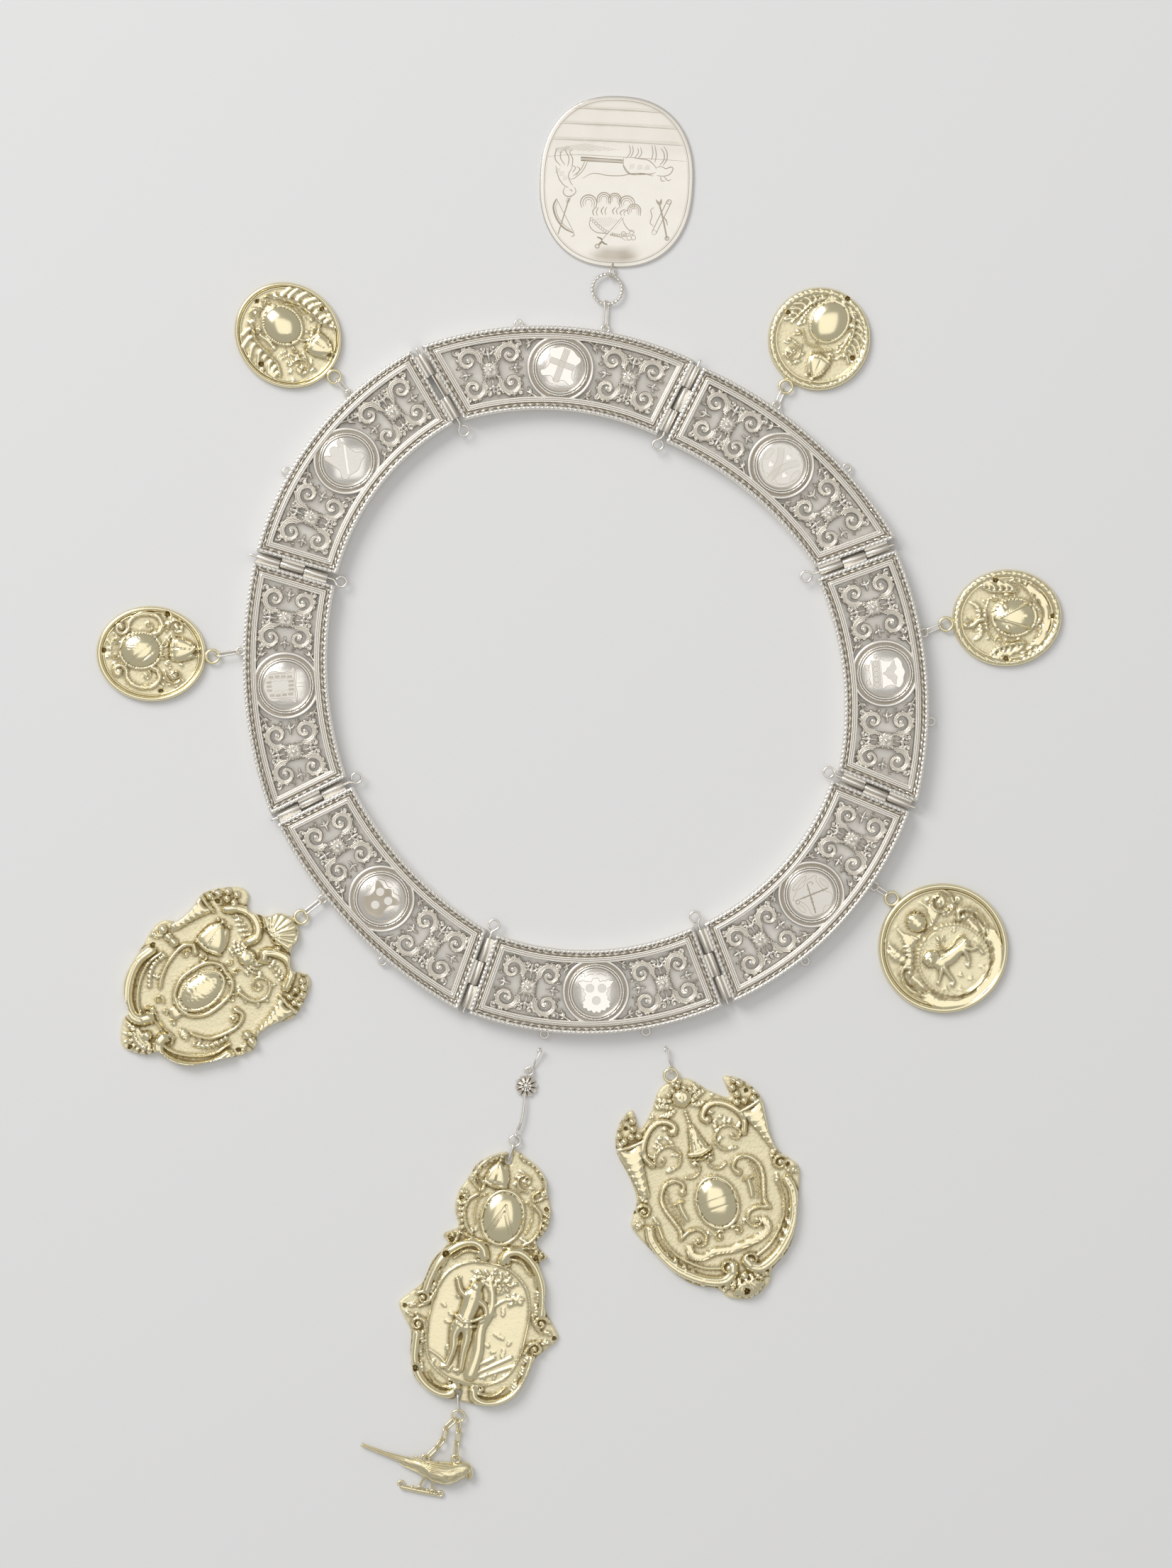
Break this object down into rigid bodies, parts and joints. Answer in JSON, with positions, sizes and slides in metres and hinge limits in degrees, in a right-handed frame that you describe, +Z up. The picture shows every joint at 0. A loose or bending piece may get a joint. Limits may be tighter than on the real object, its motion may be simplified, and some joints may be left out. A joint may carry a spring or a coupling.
{
  "type": "guild chain",
  "caption": "Silver guild collar of pierced, hinged box plates on pins, closed and lying face up, with gilt medals, shields, an engraved plate and a bird on rings and hooks.",
  "frame": {"origin": "under the middle of the whole layout, at the height of the table that it lies on", "axes": "+Z up from the table, +Y towards the plate that hangs at the wearer's nape, +X to the right of a viewer who looks down at its face"},
  "size_m": [0.4081, 0.5929, 0.008],
  "materials": {
    "silver": "old silver, soft polish with tarnish in the recesses",
    "gilt": "pale gilding on silver, polished crests over a matt ground"
  },
  "bodies": {
    "bottom": {"bottom_plate": "silver", "bottom_boss": "silver", "bottom_left_pin": "silver", "left_hook": "silver", "flower_hanger": "silver", "jump_ring": "silver", "upper_hole_link": "silver", "two_part_medal": "gilt", "lower_hole_link": "silver", "gold_ring": "gilt", "left_strand": "gilt", "right_strand": "gilt", "bird": "gilt", "right_hook": "silver", "horn_shield": "gilt"},
    "lower_left": {"lower_left_plate": "silver", "lower_left_boss": "silver", "left_lower_pin": "silver", "shell_shield": "gilt", "lower_left_link": "silver"},
    "left": {"left_plate": "silver", "left_boss": "silver", "left_upper_pin": "silver", "left_medal": "gilt", "left_link": "silver"},
    "upper_left": {"upper_left_plate": "silver", "upper_left_boss": "silver", "upper_left_medal": "gilt", "upper_left_link": "silver"},
    "lower_right": {"lower_right_plate": "silver", "lower_right_boss": "silver", "bottom_right_pin": "silver", "lower_right_medal": "gilt", "lower_right_link": "silver"},
    "right": {"right_plate": "silver", "right_boss": "silver", "right_lower_pin": "silver", "right_medal": "gilt", "right_link": "silver"},
    "upper_right": {"upper_right_plate": "silver", "upper_right_boss": "silver", "right_upper_pin": "silver", "upper_right_medal": "gilt", "upper_right_link": "silver"},
    "top": {"top_plate": "silver", "top_boss": "silver", "top_right_pin": "silver", "nape_link": "silver", "twisted_ring": "silver", "nape_plate": "silver"},
    "clasp_pin": {"top_left_pin": "silver"}
  },
  "joints": [
    {"name": "bottom_left_hinge", "type": "hinge", "parent": "bottom", "child": "lower_left", "pos_m": [-0.04285, -0.07446, 0.004], "axis": [-0.3355, -0.9421, 0], "range_deg": [-55, 55]},
    {"name": "left_lower_hinge", "type": "hinge", "parent": "lower_left", "child": "left", "pos_m": [-0.11325, -0.00193, 0.004], "axis": [0.8957, 0.4446, 0], "range_deg": [-55, 55]},
    {"name": "left_upper_hinge", "type": "hinge", "parent": "left", "child": "upper_left", "pos_m": [-0.12124, 0.09676, 0.004], "axis": [-0.9583, 0.2857, 0], "range_deg": [-55, 55]},
    {"name": "bottom_right_hinge", "type": "hinge", "parent": "bottom", "child": "lower_right", "pos_m": [0.05633, -0.07091, 0.004], "axis": [-0.3518, 0.9361, 0], "range_deg": [-55, 55]},
    {"name": "right_lower_hinge", "type": "hinge", "parent": "lower_right", "child": "right", "pos_m": [0.12529, 0.00188, 0.004], "axis": [0.9245, -0.3811, 0], "range_deg": [-55, 55]},
    {"name": "right_upper_hinge", "type": "hinge", "parent": "right", "child": "upper_right", "pos_m": [0.11619, 0.10022, 0.004], "axis": [-0.9385, -0.3453, 0], "range_deg": [-55, 55]},
    {"name": "top_right_hinge", "type": "hinge", "parent": "upper_right", "child": "top", "pos_m": [0.04321, 0.16785, 0.004], "axis": [0.4493, 0.8934, 0], "range_deg": [-55, 55]},
    {"name": "clasp_pin_slide", "type": "slide", "parent": "upper_left", "child": "clasp_pin", "axis": [0.5, -0.866, 0], "range_m": [0, 0.036]}
  ]
}
